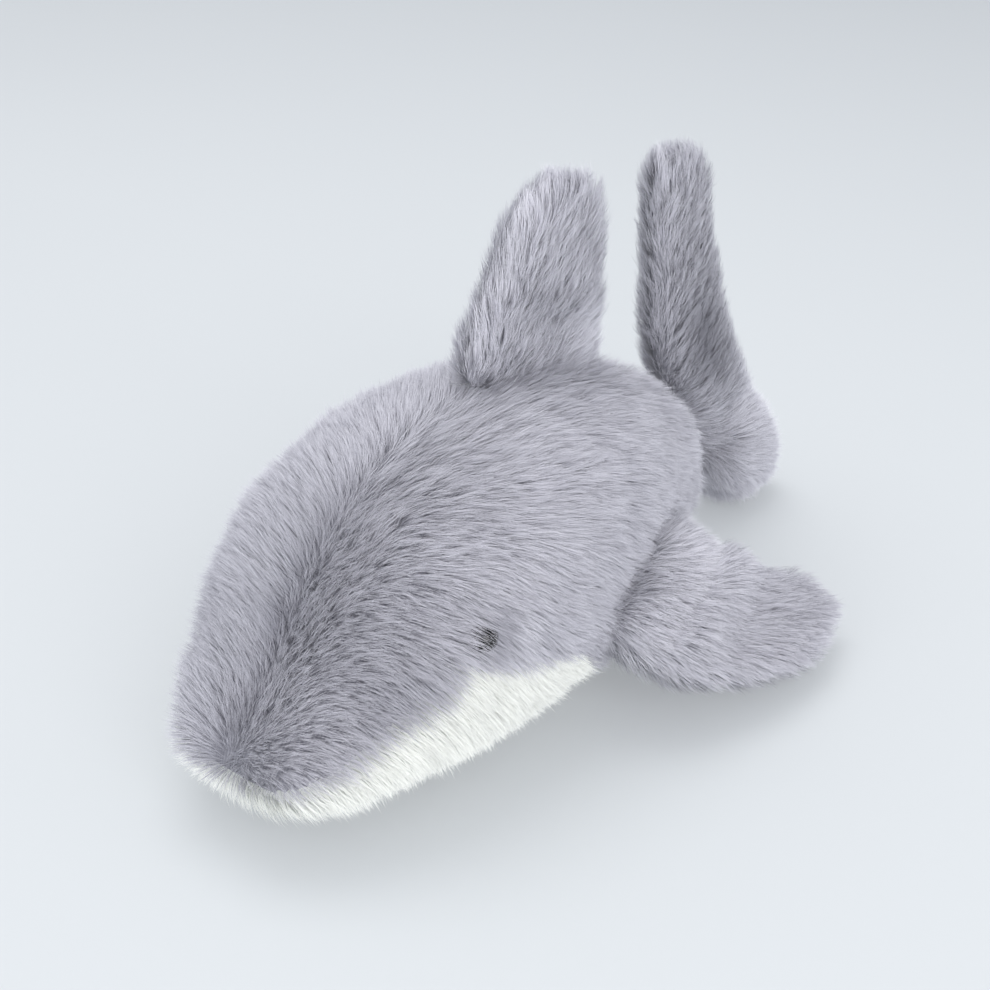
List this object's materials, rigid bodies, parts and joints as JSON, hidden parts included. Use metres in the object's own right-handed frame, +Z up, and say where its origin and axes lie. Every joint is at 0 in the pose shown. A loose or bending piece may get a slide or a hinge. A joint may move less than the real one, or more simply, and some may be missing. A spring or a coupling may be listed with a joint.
{
  "type": "plush shark",
  "caption": "Stuffed toy shark in long grey fur with a white belly, padded dorsal, tail and pectoral fins on springy sewn roots, and black bead eyes.",
  "frame": {"origin": "centre of the overall box in plan, at the level the belly rests on", "axes": "+Z up through the dorsal fin, nose towards -Y, tail towards +Y, the shark's left side towards +X"},
  "size_m": [0.2236, 0.363, 0.2081],
  "materials": {
    "grey_fur": "long soft pile",
    "white_fur": "long soft pile",
    "fibre_fill": "loose polyester fibre",
    "eye_black": "polished",
    "washer_plastic": "moulded",
    "sewing_thread": "spun polyester"
  },
  "bodies": {
    "trunk": {"back_panel_left": "grey_fur", "back_panel_right": "grey_fur", "belly_panel": "white_fur", "body_stuffing": "fibre_fill", "eye_left": "eye_black", "eye_right": "eye_black", "eye_washer_left": "washer_plastic", "eye_washer_right": "washer_plastic", "centre_back_seam_front": "sewing_thread", "centre_back_seam_rear": "sewing_thread", "belly_seam_left": "sewing_thread", "belly_seam_right": "sewing_thread", "closing_stitch": "sewing_thread"},
    "dorsal_fin": {"dorsal_panel_left": "grey_fur", "dorsal_panel_right": "grey_fur", "dorsal_stuffing": "fibre_fill", "dorsal_seam": "sewing_thread"},
    "tail_fin": {"tail_fin_panel_left": "grey_fur", "tail_fin_panel_right": "grey_fur", "tail_fin_stuffing": "fibre_fill", "tail_fin_seam": "sewing_thread"},
    "pectoral_fin_left": {"pectoral_top_left": "grey_fur", "pectoral_under_left": "grey_fur", "pectoral_stuffing_left": "fibre_fill", "pectoral_seam_left": "sewing_thread"},
    "pectoral_fin_right": {"pectoral_top_right": "grey_fur", "pectoral_under_right": "grey_fur", "pectoral_stuffing_right": "fibre_fill", "pectoral_seam_right": "sewing_thread"}
  },
  "joints": [
    {"name": "dorsal_fin_bend", "type": "hinge", "parent": "trunk", "child": "dorsal_fin", "pos_m": [0, -0.03253, 0.1425], "axis": [0, 0.9589, -0.2836], "range_deg": [-35, 35], "stiffness_Nm_per_rad": 0.05},
    {"name": "tail_fin_flick", "type": "hinge", "parent": "trunk", "child": "tail_fin", "pos_m": [0, 0.09397, 0.07], "axis": [0, -0.4758, 0.8796], "range_deg": [-25, 25], "stiffness_Nm_per_rad": 0.05},
    {"name": "pectoral_flap_left", "type": "hinge", "parent": "trunk", "child": "pectoral_fin_left", "pos_m": [0.0725, -0.04153, 0.0395], "axis": [0.2479, -0.9681, -0.0354], "range_deg": [0, 40], "stiffness_Nm_per_rad": 0.05},
    {"name": "pectoral_flap_right", "type": "hinge", "parent": "trunk", "child": "pectoral_fin_right", "pos_m": [-0.0725, -0.04153, 0.0395], "axis": [0.2479, 0.9681, 0.0354], "range_deg": [0, 40], "stiffness_Nm_per_rad": 0.05}
  ]
}
